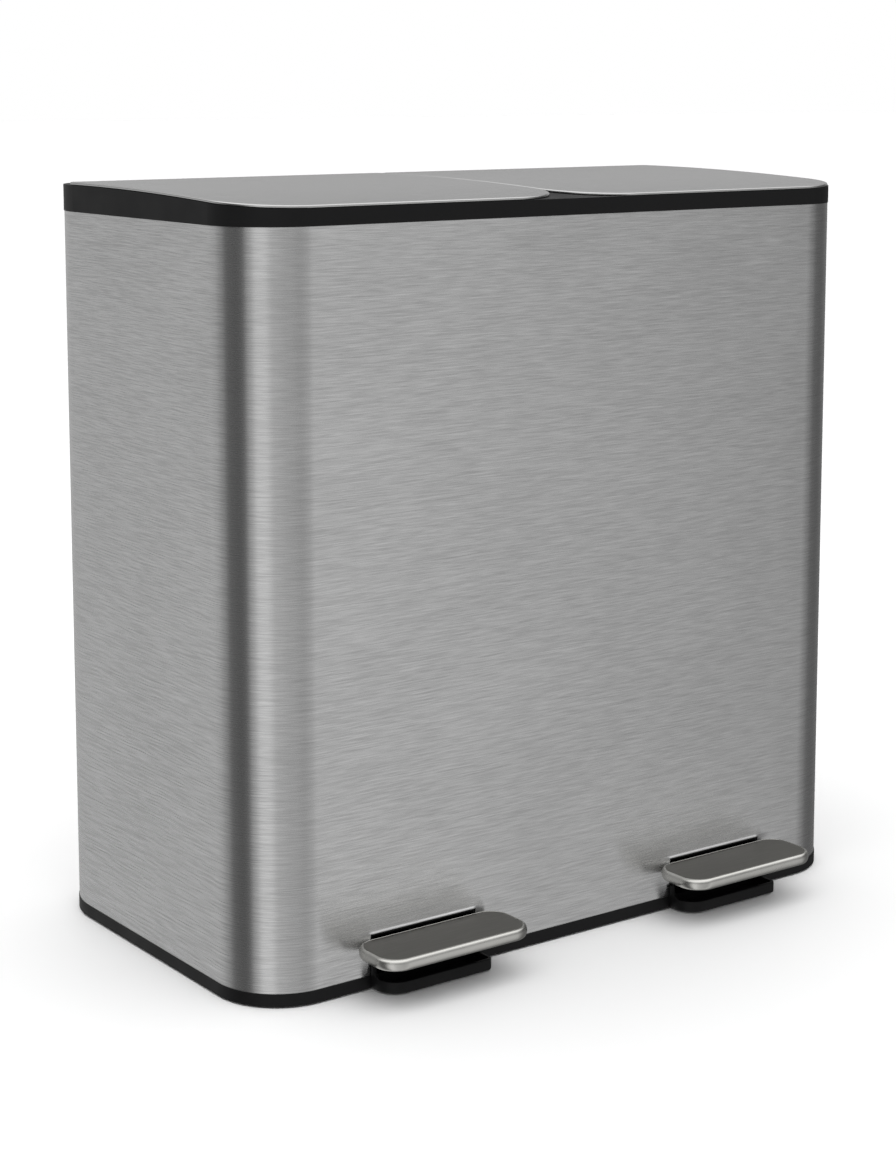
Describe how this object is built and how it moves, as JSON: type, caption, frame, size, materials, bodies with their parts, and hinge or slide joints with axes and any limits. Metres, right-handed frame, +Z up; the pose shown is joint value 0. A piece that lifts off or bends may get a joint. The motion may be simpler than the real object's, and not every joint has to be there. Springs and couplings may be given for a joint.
{
  "type": "pedal bin",
  "caption": "Rectangular twin-compartment pedal bin: brushed steel body, black base and rim, side-by-side steel lids, each opened by its own wide floor pedal.",
  "frame": {"origin": "centre of the footprint on the floor, with the pedals counted in", "axes": "+Z up; the front with the pedals faces -Y, the hinge side is at +Y; +X runs along the width, to the right as seen from the front"},
  "size_m": [0.601, 0.3844, 0.6044],
  "materials": {
    "brushed_steel": "horizontally brushed stainless sheet with a fingerprint-resistant satin",
    "lid_steel": "satin stainless sheet, pressed with rolled edges",
    "pedal_steel": "satin stainless cap, darker and warmer on its flat top",
    "black_plastic": "fine spark-eroded texture, matte",
    "bucket_plastic": "moulded polypropylene, low sheen",
    "white_nylon": "natural nylon, semi-gloss",
    "zinc_steel": "bright zinc plating",
    "pressed_steel": "galvanised pressed steel",
    "rubber": "matte moulded rubber",
    "damper_shell": "moulded acetal, semi-gloss"
  },
  "bodies": {
    "root": {"base": "black_plastic", "false_floor": "black_plastic", "body_wrap": "brushed_steel", "rear_panel": "brushed_steel", "top_rim": "black_plastic", "hinge_cover": "black_plastic", "feet": "rubber", "floor_screws": "zinc_steel", "cover_screws": "zinc_steel", "lid_buffers": "rubber", "pedal_guard_left": "black_plastic", "rod_channel_left": "black_plastic", "damper_left": "damper_shell", "lever_pin_left": "zinc_steel", "hinge_pins_left": "zinc_steel", "bucket_left": "bucket_plastic", "pedal_guard_right": "black_plastic", "rod_channel_right": "black_plastic", "damper_right": "damper_shell", "lever_pin_right": "zinc_steel", "hinge_pins_right": "zinc_steel", "bucket_right": "bucket_plastic"},
    "lid_left": {"lid_cover_left": "lid_steel", "lid_liner_left": "black_plastic"},
    "rod_left": {"push_rod_left": "zinc_steel", "rod_caps_left": "white_nylon", "damper_piston_left": "black_plastic"},
    "pedal_left": {"pedal_plate_left": "pedal_steel", "pedal_core_left": "black_plastic", "pedal_lever_left": "pressed_steel", "pedal_rivets_left": "zinc_steel"},
    "lid_right": {"lid_cover_right": "lid_steel", "lid_liner_right": "black_plastic"},
    "rod_right": {"push_rod_right": "zinc_steel", "rod_caps_right": "white_nylon", "damper_piston_right": "black_plastic"},
    "pedal_right": {"pedal_plate_right": "pedal_steel", "pedal_core_right": "black_plastic", "pedal_lever_right": "pressed_steel", "pedal_rivets_right": "zinc_steel"}
  },
  "joints": [
    {"name": "lid_left_hinge", "type": "hinge", "parent": "root", "child": "lid_left", "pos_m": [-0.15, 0.15275, 0.592], "axis": [-1, 0, 0], "range_deg": [0, 80]},
    {"name": "rod_left_slide", "type": "slide", "parent": "root", "child": "rod_left", "axis": [0, 0, 1], "range_m": [0, 0.01955]},
    {"name": "pedal_left_pivot", "type": "hinge", "parent": "root", "child": "pedal_left", "pos_m": [-0.15, -0.00973, 0.024], "axis": [1, 0, 0], "range_deg": [0, 7.5]},
    {"name": "lid_right_hinge", "type": "hinge", "parent": "root", "child": "lid_right", "pos_m": [0.15, 0.15275, 0.592], "axis": [-1, 0, 0], "range_deg": [0, 80]},
    {"name": "rod_right_slide", "type": "slide", "parent": "root", "child": "rod_right", "axis": [0, 0, 1], "range_m": [0, 0.01955]},
    {"name": "pedal_right_pivot", "type": "hinge", "parent": "root", "child": "pedal_right", "pos_m": [0.15, -0.00973, 0.024], "axis": [1, 0, 0], "range_deg": [0, 7.5]}
  ],
  "couplings": [
    {"joint": "rod_left_slide", "follows": "lid_left_hinge", "m_per_rad": 0.014},
    {"joint": "pedal_left_pivot", "follows": "lid_left_hinge", "ratio": 0.09375},
    {"joint": "rod_right_slide", "follows": "lid_right_hinge", "m_per_rad": 0.014},
    {"joint": "pedal_right_pivot", "follows": "lid_right_hinge", "ratio": 0.09375}
  ]
}
